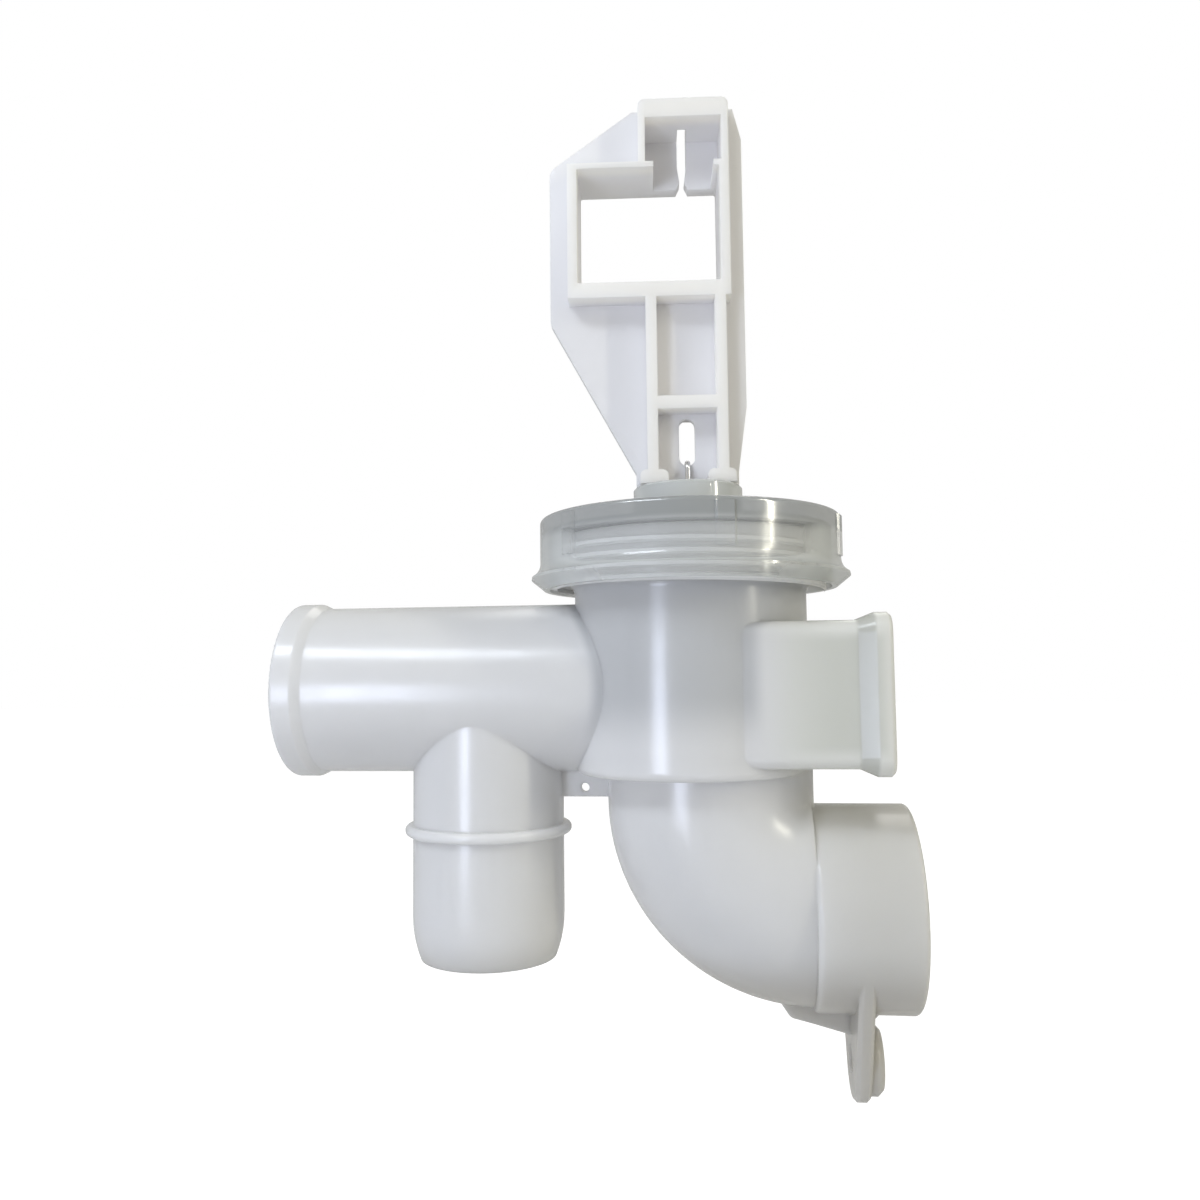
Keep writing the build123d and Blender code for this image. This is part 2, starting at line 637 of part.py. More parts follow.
def make_outer_spring():
    """Compression spring between the cap and the sleeve, with a closed turn at each end."""
    low = SPRING_FLOOR_Z + OUTER_WIRE_R
    high = CAP_IN_Z - OUTER_WIRE_R
    closed = 2 * OUTER_WIRE_R + WIRE_GAP
    points = [(OUTER_COIL_R, 0, low)]
    points += turns_up(OUTER_COIL_R, low, low + closed, 1, COIL_STEPS)
    points += turns_up(OUTER_COIL_R, low + closed, high - closed, OUTER_TURNS, COIL_STEPS)
    points += turns_up(OUTER_COIL_R, high - closed, high, 1, COIL_STEPS)
    return on_valve(wire_through(OUTER_WIRE_R, points))


def make_inner_spring():
    """Tension spring: ring round the sleeve's bar, coil, and a hook through the lever's slot."""
    high = LEVER_FOOT_Z - STEM_LENGTH - 2 * INNER_WIRE_R
    low = high - INNER_PITCH * INNER_TURNS
    leg_y = -PLATE_T / 2 - INNER_WIRE_R - HOOK_GAP
    leg_low = high + INNER_LEAD
    bend_z = OUTLET_RISE + SPRING_SLOT_LOW - INNER_WIRE_R
    ring_r = HOOK_BAR_R + INNER_WIRE_R + WIRE_GAP
    start = (0, -INNER_COIL_R, low)
    end = (0, -INNER_COIL_R, high)
    ring = Pos(0, 0, HOOK_BAR_Z) * Rot(90, 0, 0) * CenterArc((0, 0, 0), ring_r, 90, RING_ANGLE)
    tail = Spline(ring @ 1, start, tangents=(ring % 1, (1, 0, 0)))
    lead = Spline(end, (0, leg_y, leg_low), tangents=((1, 0, 0), (0, 0, 1)))
    over = ThreePointArc((0, leg_y, bend_z), (0, 0, bend_z - leg_y), (0, -leg_y, bend_z))
    points = [ring @ 0] + along(ring, SMALL_COIL_STEPS) + along(tail, SMALL_COIL_STEPS // 2)
    points += turns_up(INNER_COIL_R, low, high, INNER_TURNS, SMALL_COIL_STEPS, -pi / 2)
    points += along(lead, SMALL_COIL_STEPS // 2) + [(0, leg_y, bend_z)]
    points += along(over, SMALL_COIL_STEPS // 2) + [(0, -leg_y, bend_z - HOOK_TAIL)]
    return on_valve(Rot(0, 0, LEVER_YAW) * wire_through(INNER_WIRE_R, points))


def lever_sheet():
    """Outline of the lever's flat plate, in heights above the outlet axis."""
    face = outline(
        (-FOOT_HALF_W, COLLAR_RISE + RUN), (-FOOT_HALF_W, FOOT_LINE), (-LEFT_EDGE, LEFT_CORNER_LOW),
        (-LEFT_EDGE, LEFT_CORNER_HIGH), (-DIAGONAL_TOP_X, LEVER_TOP), (DIAGONAL_TOP_X, LEVER_TOP),
        (RIGHT_EDGE, RIGHT_CORNER_HIGH), (RIGHT_EDGE, RIGHT_CORNER_LOW), (FOOT_HALF_W, FOOT_LINE),
        (FOOT_HALF_W, COLLAR_RISE + RUN),
    )
    return rounded(face, LEFT_CORNER_R, (-LEFT_EDGE, LEFT_CORNER_HIGH), (-LEFT_EDGE, LEFT_CORNER_LOW))


def box_face(x0, x1, z0, z1):
    """Rectangle of (x, height)."""
    return Pos((x0 + x1) / 2, (z0 + z1) / 2) * Rectangle(x1 - x0, z1 - z0)


def lever_frame():
    """Deep frame round the window, and the cable block on top of it."""
    frame = box_face(-WINDOW_LEFT - FRAME_T, WINDOW_RIGHT + FRAME_T, WINDOW_LOW - FRAME_BOTTOM_T,
                     WINDOW_HIGH + FRAME_TOP_T)
    block = box_face(-BLOCK_HALF_W, BLOCK_HALF_W, WINDOW_HIGH, LEVER_TOP)
    return plate(frame + block, FRONT, BACK)


def lever_pocket():
    """Pocket for the cable's end, its mouth into the window and the slot through its back."""
    top = LEVER_TOP - BLOCK_TOP_T
    floor_y = BACK - POCKET_FLOOR_T
    pocket = plate(box_face(-POCKET_HALF_W, POCKET_HALF_W, WINDOW_HIGH + FRAME_TOP_T, top), FRONT + PAST, floor_y)
    mouth_face = box_face(-POCKET_MOUTH_HALF_W, POCKET_MOUTH_HALF_W, WINDOW_HIGH - PAST, top)
    mouth = plate(mouth_face, FRONT + PAST, floor_y)
    pinch_z = WINDOW_HIGH + CABLE_PINCH_RISE
    half = CABLE_SLOT_W / 2
    pinch = CABLE_PINCH_W / 2
    flare = CABLE_FLARE_W / 2
    slot = outline(
        (-flare, WINDOW_HIGH), (flare, WINDOW_HIGH), (pinch, pinch_z), (half, CABLE_TAPER_TOP),
        (half, LEVER_TOP + PAST), (-half, LEVER_TOP + PAST), (-half, CABLE_TAPER_TOP), (-pinch, pinch_z),
    )
    return pocket + mouth + plate(slot, CABLE_SLOT_FRONT, BACK + PAST)


def lever_ribs():
    """Two upright ribs and their cross rib, on both faces of the plate, with T-shaped feet."""
    top = WINDOW_LOW - FRAME_BOTTOM_T / 2
    foot_z = COLLAR_RISE + RUN
    face = box_face(-RIB_IN, RIB_IN, CROSS_RIB_LOW, CROSS_RIB_LOW + CROSS_RIB_T)
    for side in (-1, 1):
        inner = min(side * RIB_IN, side * (RIB_IN + RIB_T))
        face += box_face(inner, inner + RIB_T, foot_z, top)
        left = min(side * FOOT_IN, side * FOOT_OUT)
        width = FOOT_OUT - FOOT_IN
        foot = box_face(left, left + width, foot_z, FOOT_LINE)
        face += rounded(foot, FOOT_R, (left, FOOT_LINE), (left + width, FOOT_LINE))
    return plate(face, FRONT, FRONT)


def lever_stem():
    """Part of the lever inside the sleeve: the plate, keyed in the sleeve, and two low ribs."""
    foot_z = COLLAR_RISE + RUN
    low = foot_z - STEM_LENGTH
    key_half_w = SLEEVE_BORE_R + KEY_DEPTH - SLIDE
    blade = plate(box_face(-key_half_w, key_half_w, low, foot_z + FOOT_R), PLATE_T / 2, PLATE_T / 2)
    face = box_face(-STEM_RIB_X - STEM_RIB_T, -STEM_RIB_X, low, foot_z + FOOT_R)
    face += box_face(STEM_RIB_X, STEM_RIB_X + STEM_RIB_T, low, foot_z + FOOT_R)
    deep = sqrt((SLEEVE_BORE_R - SLIDE) ** 2 - (STEM_RIB_X + STEM_RIB_T) ** 2)
    return blade + plate(face, deep, deep)


def make_pull_lever():
    """Pull lever, modelled on the valve axis and then turned a little, as it sits in its collar."""
    half = PLATE_T / 2
    window = box_face(-WINDOW_LEFT, WINDOW_RIGHT, WINDOW_LOW, WINDOW_HIGH)
    window = rounded(window, LEVER_EDGE, *[(v.X, v.Y) for v in window.vertices()])
    slot_mid = SPRING_SLOT_LOW + SPRING_SLOT_H / 2
    slot = Pos(0, slot_mid) * Rot(0, 0, 90) * SlotOverall(SPRING_SLOT_H, SPRING_SLOT_W)
    lever = plate(lever_sheet(), half, half) + lever_frame() + lever_ribs() + lever_stem()
    lever -= plate(window, FRONT + PAST, BACK + PAST)
    lever -= lever_pocket()
    lever -= plate(slot, PLATE_T, PLATE_T)
    return Pos(VALVE_X, 0, OUTLET_RISE) * Rot(0, 0, LEVER_YAW) * lever


MAKERS = {
    "valve_body": make_valve_body,
    "bonnet": make_bonnet,
    "guide_sleeve": make_guide_sleeve,
    "bellows_seal": make_bellows_seal,
    "outer_spring": make_outer_spring,
    "inner_spring": make_inner_spring,
    "pull_lever": make_pull_lever,
}

os.makedirs("parts", exist_ok=True)
for node, maker in MAKERS.items():
    export_step(maker(), f"parts/{node}.step")
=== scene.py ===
import json
from math import cos, pi, radians, sin

import bmesh
import bpy
from mathutils import Matrix, Vector

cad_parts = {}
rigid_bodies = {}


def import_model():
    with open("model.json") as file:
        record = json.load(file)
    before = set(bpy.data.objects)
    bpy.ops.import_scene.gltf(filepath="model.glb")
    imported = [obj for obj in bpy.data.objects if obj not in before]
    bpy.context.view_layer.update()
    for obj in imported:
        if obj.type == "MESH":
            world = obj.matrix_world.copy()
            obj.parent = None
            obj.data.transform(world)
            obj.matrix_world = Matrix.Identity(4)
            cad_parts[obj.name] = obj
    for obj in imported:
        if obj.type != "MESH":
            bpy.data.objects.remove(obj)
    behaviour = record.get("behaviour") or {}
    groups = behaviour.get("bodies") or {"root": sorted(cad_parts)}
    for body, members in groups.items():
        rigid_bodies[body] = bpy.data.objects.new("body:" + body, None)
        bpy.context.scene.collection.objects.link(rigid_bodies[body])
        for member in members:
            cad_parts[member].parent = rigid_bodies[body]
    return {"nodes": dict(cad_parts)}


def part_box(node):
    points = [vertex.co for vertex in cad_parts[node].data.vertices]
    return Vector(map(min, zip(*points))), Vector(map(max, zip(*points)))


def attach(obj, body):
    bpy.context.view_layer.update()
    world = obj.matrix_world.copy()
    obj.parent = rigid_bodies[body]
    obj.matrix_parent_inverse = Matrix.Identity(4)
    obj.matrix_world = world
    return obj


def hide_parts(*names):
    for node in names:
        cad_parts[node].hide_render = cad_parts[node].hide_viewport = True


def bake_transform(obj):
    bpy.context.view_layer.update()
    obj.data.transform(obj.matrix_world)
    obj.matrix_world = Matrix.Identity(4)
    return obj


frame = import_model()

for left_over in [o for o in bpy.data.objects if o.name in ("Cube", "Light", "Camera")]:
    bpy.data.objects.remove(left_over)
bpy.context.view_layer.update()
MM = 0.001

# Sizes read from the frame
CAP_LOW, CAP_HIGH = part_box("bonnet")
SEAL_LOW, SEAL_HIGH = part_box("bellows_seal")
COIL_LOW, COIL_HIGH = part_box("outer_spring")
BODY_LOW, BODY_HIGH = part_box("valve_body")
LEVER_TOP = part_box("pull_lever")[1].z
VALVE_X = (CAP_LOW.x + CAP_HIGH.x) / 2
RIM_Z = BODY_HIGH.z

# Camera of the photograph
CAMERA_AT = (-39.74 * MM, -225.12 * MM, 49.29 * MM)
CAMERA_RIGHT = (0.99338, 0.11444, -0.01023)
CAMERA_UP = (0.01877, -0.07380, 0.99710)
CAMERA_BACK = (0.11336, -0.99068, -0.07546)
CAMERA_LENS = 30.41
CAMERA_SENSOR = 36.0
CAMERA_NEAR = 5 * MM

# Screw thread on the neck, seen through the cap
NECK_R = 29.6 * MM
THREAD_R = 30.85 * MM
THREAD_PITCH = 2.5 * MM
THREAD_W = 1.5 * MM
THREAD_TURNS = 4
THREAD_DROP = 1.2 * MM
THREAD_SINK = 0.2 * MM
THREAD_STEPS = 96
THREAD_FADE_STEPS = 16

# Springs, with their steps to a turn
WIRE_SIDES = 12
OUTER_WIRE_R = 0.8 * MM
OUTER_TURNS = 9
OUTER_STEPS = 40
END_COIL_GAP = 0.2 * MM
INNER_WIRE_R = 0.6 * MM
INNER_COIL_R = 3.2 * MM
INNER_LOW = 50.3 * MM
INNER_HIGH = 73.1 * MM
INNER_TURNS = 12
INNER_STEPS = 32

# Ends of the lever's spring: ring round the sleeve's bar, leads to the coil, and hook on the lever's slot
BAR_R = 1.2 * MM
BAR_Z = 47.6 * MM
BAR_GAP = 0.2 * MM
RING_STEPS = 30
LEAD_STEPS = 6
LOW_LEAD = (-1.6 * MM, -1.6 * MM, INNER_LOW - 0.5 * MM)
HIGH_LEAD = (1.4 * MM, -2.4 * MM, INNER_HIGH + 2 * MM)
HOOK_FOOT_Z = INNER_HIGH + 5 * MM
HOOK_HALF = 2.35 * MM
HOOK_BEND_R = 1.5 * MM
HOOK_BEND_STEPS = 8
HOOK_TAIL_Z = 92.9 * MM
SLOT_LOW_Z = 96.0 * MM
LEVER_YAW = radians(3.8)

# Rubber bellows
RUBBER_T = 1.1 * MM
FOLD_COUNT = 5
FOLD_IN_R = 15.7 * MM
FOLD_OUT_R = 20.9 * MM
FOLD_LOW_Z = 41.6 * MM
FOLD_HIGH_Z = 76.6 * MM
FOLD_FOOT = 2.7 * MM
PLUG_R = 20.4 * MM
PLUG_T = 2.4 * MM
PLUG_ROUND = 0.9 * MM
CORNER_SHARE = 0.45
GROOVE_R = 11.4 * MM
GROOVE_LOW_Z = 38.0 * MM
GROOVE_HIGH_Z = 39.8 * MM
SLEEVE_FLANGE_R = 14.0 * MM
AXIS_GAP = 0.01 * MM
BELLOWS_SEGMENTS = 96

# Lever: soft edges, rounder top corners of its block, and the depths that its painted shade goes by
LEVER_EDGE = 0.4 * MM
LEVER_EDGE_STEPS = 3
BLOCK_CORNER_R = 1.6 * MM
BLOCK_CORNER_STEPS = 5
BLOCK_HALF_W = 10.1 * MM
SAME_POINT = 0.002 * MM
SAME_PLACE = 0.05 * MM
NEARLY_ALONG = 0.99
FLAT_ANGLE = radians(0.5)
SHARP_ANGLE = radians(35)
SHEET_HALF = 1.3 * MM
RIB_DEPTH = 5.0 * MM

# Chamber's wall with the bellows behind it, where painted shade goes
WALL_NEAR_R = 25.8 * MM
WALL_FAR_R = 27.8 * MM
PLUG_Z = 34.0 * MM
FOLDS_Z = 46.0 * MM
CAP_FADE_Z = CAP_LOW.z + 4 * MM

# Overflow port, where painted shade goes: its whole side, its hollow, and the sloped band behind its rim
SIDE_START_X = -34 * MM
SIDE_FULL_X = -22 * MM
SIDE_START_Z = 27 * MM
SIDE_FULL_Z = 31 * MM
HOLLOW_LOW = 33.0 * MM
HOLLOW_HIGH = 58.0 * MM
HOLLOW_SOFT = 2.5 * MM
HOLLOW_START_X = -30 * MM
HOLLOW_FULL_X = -15 * MM
HOLLOW_FADE_X = -9 * MM
HOLLOW_END_X = -6.5 * MM
PORT_END = VALVE_X + 39.8 * MM
FLARE_END = PORT_END - 3.2 * MM
FLARE_START = FLARE_END - 3.4 * MM
FLARE_SOFT = 0.5 * MM
FLARE_FULL_Z = 29 * MM

# Socket's mouth, where painted shade goes, and the height below which painted shade makes the screw ear a
# darker, warmer grey
SOCKET_START_X = -34 * MM
SOCKET_FULL_X = -8 * MM
SOCKET_TOP_Z = 29 * MM
SOCKET_FULL_Z = 25 * MM
EAR_START_Z = -4 * MM
EAR_FULL_Z = -18 * MM

# Tints of the body, with painted shade and painted light by place, and of its thread, painted paler for
# its lit crests, with a second tint for cloudy patches
BODY_TINT = (0.775, 0.77, 0.765)
BODY_CLOUD = (0.795, 0.79, 0.785)
# Painted shade: a darker, warmer grey over the whole overflow port
PORT_SHADE_TINT = (0.76, 0.76, 0.715)
# Painted shade on the chamber's wall, for the dark bellows seen through it and the shade on its side
CHAMBER_SHADE_TINT = (0.575, 0.58, 0.585)
# Painted shade over the port's hollow, inside its lighter edges
HOLLOW_SHADE_TINT = (0.665, 0.67, 0.62)
# Painted shade on the sloped band behind the port's rim
FLARE_SHADE_TINT = (0.58, 0.58, 0.53)
# Painted light: a paler neck inside the cap
NECK_LIGHT_TINT = (0.93, 0.93, 0.91)
# Painted shade at the socket's mouth
SOCKET_SHADE_TINT = (0.665, 0.655, 0.625)
# Painted shade: a darker, warmer grey towards the bottom, at the screw ear
EAR_SHADE_TINT = (0.57, 0.55, 0.51)
# Painted light: the thread is paler than the body it is moulded with, for its lit crests
THREAD_LIT_TINT = (0.90, 0.905, 0.90)
THREAD_LIT_CLOUD = (0.93, 0.93, 0.925)

# Tints of the other materials, and the painted shade of the lever's sheet
LEVER_TINT = (0.90, 0.875, 0.835)
LEVER_CLOUD = (0.92, 0.895, 0.855)
# Painted shade on the lever's sheet between its ribs
SHEET_SHADE_TINT = (0.82, 0.81, 0.815)
SLEEVE_TINT = (0.66, 0.67, 0.68)
SLEEVE_CLOUD = (0.70, 0.71, 0.72)
RUBBER_TINT = (0.035, 0.035, 0.04)
RUBBER_DUST = (0.06, 0.06, 0.065)
WIRE_TINT = (0.62, 0.62, 0.63)
WIRE_BRIGHT = (0.78, 0.78, 0.78)

# Cap: tints, with painted shade where it is seen edge on and on its top, density and gloss (the gloss is
# thinned by the density, so its index is raised)
CAP_TINT = (0.80, 0.81, 0.79)
CAP_CLOUD = (0.84, 0.85, 0.83)
CAP_EDGE_SHADE_TINT = (0.62, 0.64, 0.625)
CAP_TOP_SHADE_TINT = (0.40, 0.415, 0.41)
CAP_TINT_COLLAR = (0.78, 0.80, 0.78)
CAP_ALPHA = 0.27
CAP_ALPHA_DENSE = 0.72
CAP_GLOSS_IOR = 2.3
CAP_TOP_LOW = RIM_Z - 1.0 * MM
CAP_TOP_HIGH = RIM_Z + 1.5 * MM
COLLAR_LOW = CAP_HIGH.z - 7.5 * MM
COLLAR_HIGH = CAP_HIGH.z - 6.5 * MM
EDGE_ON_START = 0.2
EDGE_ON_FULL = 0.7

# Plastic's index, and the ranges of roughness
PLASTIC_IOR = 1.49
ROUGH_LESS = 0.03
ROUGH_MORE = 0.04
CAP_ROUGH = (0.11, 0.17)
RUBBER_ROUGH = (0.55, 0.75)
WIRE_ROUGH = (0.18, 0.26)

# Noise: the span of it that is used, and scales in features to a metre, roughly
NOISE_LOW = 0.25
NOISE_HIGH = 0.75
CLOUD_SCALE = 45.0
PATCH_SCALE = 130.0
WAVE_SCALE = 60.0
GRAIN_SCALE = 1500.0
DUST_SCALE = 90.0
RUBBER_PATCH_SCALE = 200.0
RUBBER_GRAIN_SCALE = 1200.0
DRAW_MARK_SCALE = 800.0
WIRE_PATCH_SCALE = 500.0

# Detail of the noises that don't have the usual one
WAVE_DETAIL = 1.0
GRAIN_DETAIL = 2.0
FINE_DETAIL = 4.0

# Bumps, with their share and depth, and the body's softly shaded edges
WAVE_SHARE = 0.12
WAVE_DEPTH = 0.4 * MM
CAP_WAVE_DEPTH = 0.3 * MM
GRAIN_SHARE = 0.06
GRAIN_DEPTH = 0.05 * MM
RUBBER_GRAIN_SHARE = 0.15
RUBBER_GRAIN_DEPTH = 0.1 * MM
BEVEL_SAMPLES = 4

# Floor and background: white to the camera, less so in reflections, and shadow kept on the floor
FLOOR_HALF = 4.0
FLOOR_DROP = 30 * MM
FLOOR_COLOUR = (0.65, 0.65, 0.65)
FLOOR_WHITE = 1.6
FLOOR_SHARE = 0.6
GLOSS_SHARE = 0.3
ROOM_COLOUR = (1.0, 0.98, 0.90)
ROOM_LEVEL = 0.29
WHITE = (1, 1, 1)


def new_object(name, bm, smooth=True):
    """Object made from a bmesh, linked to the scene."""
    mesh = bpy.data.meshes.new(name)
    bmesh.ops.recalc_face_normals(bm, faces=bm.faces)
    bm.to_mesh(mesh)
    bm.free()
    for face in mesh.polygons:
        face.use_smooth = smooth
    piece = bpy.data.objects.new(name, mesh)
    bpy.context.scene.collection.objects.link(piece)
    return piece


def skin(bm, rings, closed):
    """Quads between rings of vertices, each ring closed on itself."""
    count = len(rings[0])
    pairs = list(zip(rings, rings[1:]))
    if closed:
        pairs.append((rings[-1], rings[0]))
    for low, high in pairs:
        for i in range(count):
            j = (i + 1) % count
            bm.faces.new((low[i], low[j], high[j], high[i]))


def close_ends(bm, rings):
    """Faces on the first and last ring."""
    bm.faces.new(rings[0])
    bm.faces.new(list(reversed(rings[-1])))


def tube(name, points, radius):
    """Round wire through points, with closed ends."""
    bm = bmesh.new()
    rings = []
    normal = None
    for i, point in enumerate(points):
        before = points[max(i - 1, 0)]
        after = points[min(i + 1, len(points) - 1)]
        along = (after - before).normalized()
        if normal is None:
            normal = along.orthogonal().normalized()
        normal = (normal - along * normal.dot(along)).normalized()
        across = along.cross(normal)
        ring = []
        for k in range(WIRE_SIDES):
            angle = 2 * pi * k / WIRE_SIDES
            ring.append(bm.verts.new(point + (normal * cos(angle) + across * sin(angle)) * radius))
        rings.append(ring)
    skin(bm, rings, False)
    close_ends(bm, rings)
    return new_object(name, bm)


def lathe(name, profile, segments):
    """Closed outline of (radius, height) turned about the valve axis."""
    bm = bmesh.new()
    rings = []
    for k in range(segments):
        angle = 2 * pi * k / segments
        rings.append([bm.verts.new((VALVE_X + r * cos(angle), r * sin(angle), z)) for r, z in profile])
    skin(bm, rings, True)
    return new_object(name, bm)


def round_corners(points, radius, steps=4):
    """Closed outline with each corner rounded by up to a radius, less where its sides are short."""
    done = []
    count = len(points)
    for i in range(count):
        corner = Vector(points[i])
        before = Vector(points[i - 1]) - corner
        after = Vector(points[(i + 1) % count]) - corner
        cut = min(radius, before.length * CORNER_SHARE, after.length * CORNER_SHARE)
        start = corner + before.normalized() * cut
        end = corner + after.normalized() * cut
        for k in range(steps + 1):
            t = k / steps
            done.append(start * (1 - t) ** 2 + corner * 2 * t * (1 - t) + end * t ** 2)
    return [(p.x, p.y) for p in done]


def sweep(start, end, steps):
    """Angles in equal steps from start to end, both given in degrees."""
    return [radians(start + (end - start) * i / steps) for i in range(steps + 1)]


def curve(points, count):
    """Smooth run of points through a few given ones."""
    done = []
    last = len(points) - 1
    for i in range(last):
        before = points[max(i - 1, 0)]
        after = points[min(i + 2, last)]
        a, b = points[i], points[i + 1]
        for k in range(count):
            t = k / count
            done.append(0.5 * (2 * a + (b - before) * t + (2 * before - 5 * a + 4 * b - after) * t ** 2
                               + (3 * a - before - 3 * b + after) * t ** 3))
    done.append(points[-1])
    return done


def node_material(name):
    """New material, with its node tree and its shader."""
    material = bpy.data.materials.new(name)
    material.use_nodes = True
    tree = material.node_tree
    return material, tree, tree.nodes["Principled BSDF"]


def position(tree):
    """Position in the object's own space, which is the frame's own at rest."""
    return tree.nodes.new("ShaderNodeTexCoord").outputs["Object"]


def noise(tree, where, scale, detail=3.0):
    """Noise texture at a position."""
    texture = tree.nodes.new("ShaderNodeTexNoise")
    texture.inputs["Scale"].default_value = scale
    texture.inputs["Detail"].default_value = detail
    tree.links.new(where, texture.inputs["Vector"])
    return texture.outputs["Fac"]


def remap(tree, value, start, end, low, high):
    """Value that runs smoothly from low at start to high at end, where start is below end."""
    node = tree.nodes.new("ShaderNodeMapRange")
    node.interpolation_type = "SMOOTHSTEP"
    node.inputs["From Min"].default_value = start
    node.inputs["From Max"].default_value = end
    node.inputs["To Min"].default_value = low
    node.inputs["To Max"].default_value = high
    tree.links.new(value, node.inputs["Value"])
    return node.outputs["Result"]


def spread(tree, value, low=0.0, high=1.0):
    """Noise or share stretched to a range."""
    return remap(tree, value, NOISE_LOW, NOISE_HIGH, low, high)


def falloff(tree, value, start, end):
    """Smooth step of a value from 0 at start to 1 at end."""
    if start < end:
        return remap(tree, value, start, end, 0.0, 1.0)
    return remap(tree, value, end, start, 1.0, 0.0)


def maths(tree, operation, first, second):
    """Sum, product or the like of two values."""
    node = tree.nodes.new("ShaderNodeMath")
    node.operation = operation
    tree.links.new(first, node.inputs[0])
    if isinstance(second, float):
        node.inputs[1].default_value = second
    else:
        tree.links.new(second, node.inputs[1])
    return node.outputs[0]


def band(tree, value, start, full, fade, end):
    """1 between full and fade, 0 outside start and end."""
    return maths(tree, "MULTIPLY", falloff(tree, value, start, full), falloff(tree, value, end, fade))


def vector_maths(tree, operation, first, second=(0, 0, 0)):
    """Node that works on a linked vector and a fixed one."""
    node = tree.nodes.new("ShaderNodeVectorMath")
    node.operation = operation
    node.inputs[1].default_value = second
    tree.links.new(first, node.inputs[0])
    return node


def from_axis(tree, where):
    """Position counted from the valve axis."""
    return vector_maths(tree, "SUBTRACT", where, (VALVE_X, 0, 0)).outputs["Vector"]


def x_and_z(tree, where):
    """X and Z of a position."""
    split = tree.nodes.new("ShaderNodeSeparateXYZ")
    tree.links.new(where, split.inputs[0])
    return split.outputs["X"], split.outputs["Z"]


def chamber_painted_shade(tree, where):
    """Painted shade on the chamber's wall, for the dark bellows seen through it and for the shade on its
    side: 1 on the wall, 0 away from it.
    """
    flat = vector_maths(tree, "MULTIPLY", from_axis(tree, where), (1, 1, 0)).outputs["Vector"]
    radius = vector_maths(tree, "LENGTH", flat).outputs["Value"]
    z = x_and_z(tree, where)[1]
    return maths(tree, "MULTIPLY", falloff(tree, radius, WALL_FAR_R, WALL_NEAR_R),
                 band(tree, z, PLUG_Z, FOLDS_Z, CAP_LOW.z, CAP_FADE_Z))


def neck_painted_light(tree, where):
    """Painted light: 1 on the neck inside the cap, made paler for the light that comes through the cap,
    and 0 below the cap.
    """
    return falloff(tree, x_and_z(tree, where)[1], CAP_LOW.z, CAP_FADE_Z)


def port_painted_shade(tree, where):
    """Painted shade, a darker and warmer grey: 1 on the overflow port, 0 on the chamber beside it and on
    the socket below it.
    """
    x, z = x_and_z(tree, where)
    return maths(tree, "MULTIPLY", falloff(tree, x, SIDE_START_X, SIDE_FULL_X),
                 falloff(tree, z, SIDE_START_Z, SIDE_FULL_Z))


def hollow_painted_shade(tree, where):
    """Painted shade: 1 over the hollow of the overflow port, inside its edges, and 0 away from it."""
    x, z = x_and_z(tree, where)
    inside = band(tree, z, HOLLOW_LOW, HOLLOW_LOW + HOLLOW_SOFT, HOLLOW_HIGH - HOLLOW_SOFT, HOLLOW_HIGH)
    along = band(tree, x, HOLLOW_START_X, HOLLOW_FULL_X, HOLLOW_FADE_X, HOLLOW_END_X)
    return maths(tree, "MULTIPLY", inside, along)


def flare_painted_shade(tree, where):
    """Painted shade: 1 on the sloped band behind the overflow port's rim, and 0 away from it."""
    x, z = x_and_z(tree, where)
    along = band(tree, x, FLARE_START - FLARE_SOFT, FLARE_START + FLARE_SOFT,
                 FLARE_END - FLARE_SOFT, FLARE_END + FLARE_SOFT)
    return maths(tree, "MULTIPLY", along, falloff(tree, z, SIDE_START_Z, FLARE_FULL_Z))


def socket_painted_shade(tree, where):
    """Painted shade: 1 at the socket's mouth, 0 on the bend and above the socket."""
    x, z = x_and_z(tree, where)
    return maths(tree, "MULTIPLY", falloff(tree, x, SOCKET_START_X, SOCKET_FULL_X),
                 falloff(tree, z, SOCKET_TOP_Z, SOCKET_FULL_Z))


def low_end_painted_shade(tree, where):
    """Painted shade, darker and warmer towards the bottom: 1 at the screw ear, 0 above it."""
    return falloff(tree, x_and_z(tree, where)[1], EAR_START_Z, EAR_FULL_Z)


def sheet_painted_shade(tree, where):
    """Painted shade: 1 at the lever's thin sheet, set back between its ribs, and behind it, 0 at the front
    of its ribs.
    """
    depth = (-sin(LEVER_YAW), cos(LEVER_YAW), 0)
    behind = vector_maths(tree, "DOT_PRODUCT", from_axis(tree, where), depth).outputs["Value"]
    return falloff(tree, behind, -RIB_DEPTH, -SHEET_HALF)


def tint(tree, value, first, second):
    """Colour between a first one, fixed or linked, and a second fixed one."""
    mix = tree.nodes.new("ShaderNodeMix")
    mix.data_type = "RGBA"
    if isinstance(first, tuple):
        mix.inputs["A"].default_value = (*first, 1)
    else:
        tree.links.new(first, mix.inputs["A"])
    mix.inputs["B"].default_value = (*second, 1)
    tree.links.new(value, mix.inputs["Factor"])
    return mix.outputs["Result"]


def bump(tree, value, strength, distance, before=None):
    """Bump from a value, on top of an earlier normal if one is given."""
    node = tree.nodes.new("ShaderNodeBump")
    node.inputs["Strength"].default_value = strength
    node.inputs["Distance"].default_value = distance
    tree.links.new(value, node.inputs["Height"])
    if before is not None:
        tree.links.new(before, node.inputs["Normal"])
    return node.outputs["Normal"]


def round_edge(tree, radius):
    """Normal that shades sharp edges as if rounded."""
    node = tree.nodes.new("ShaderNodeBevel")
    node.samples = BEVEL_SAMPLES
    node.inputs["Radius"].default_value = radius
    return node.outputs["Normal"]


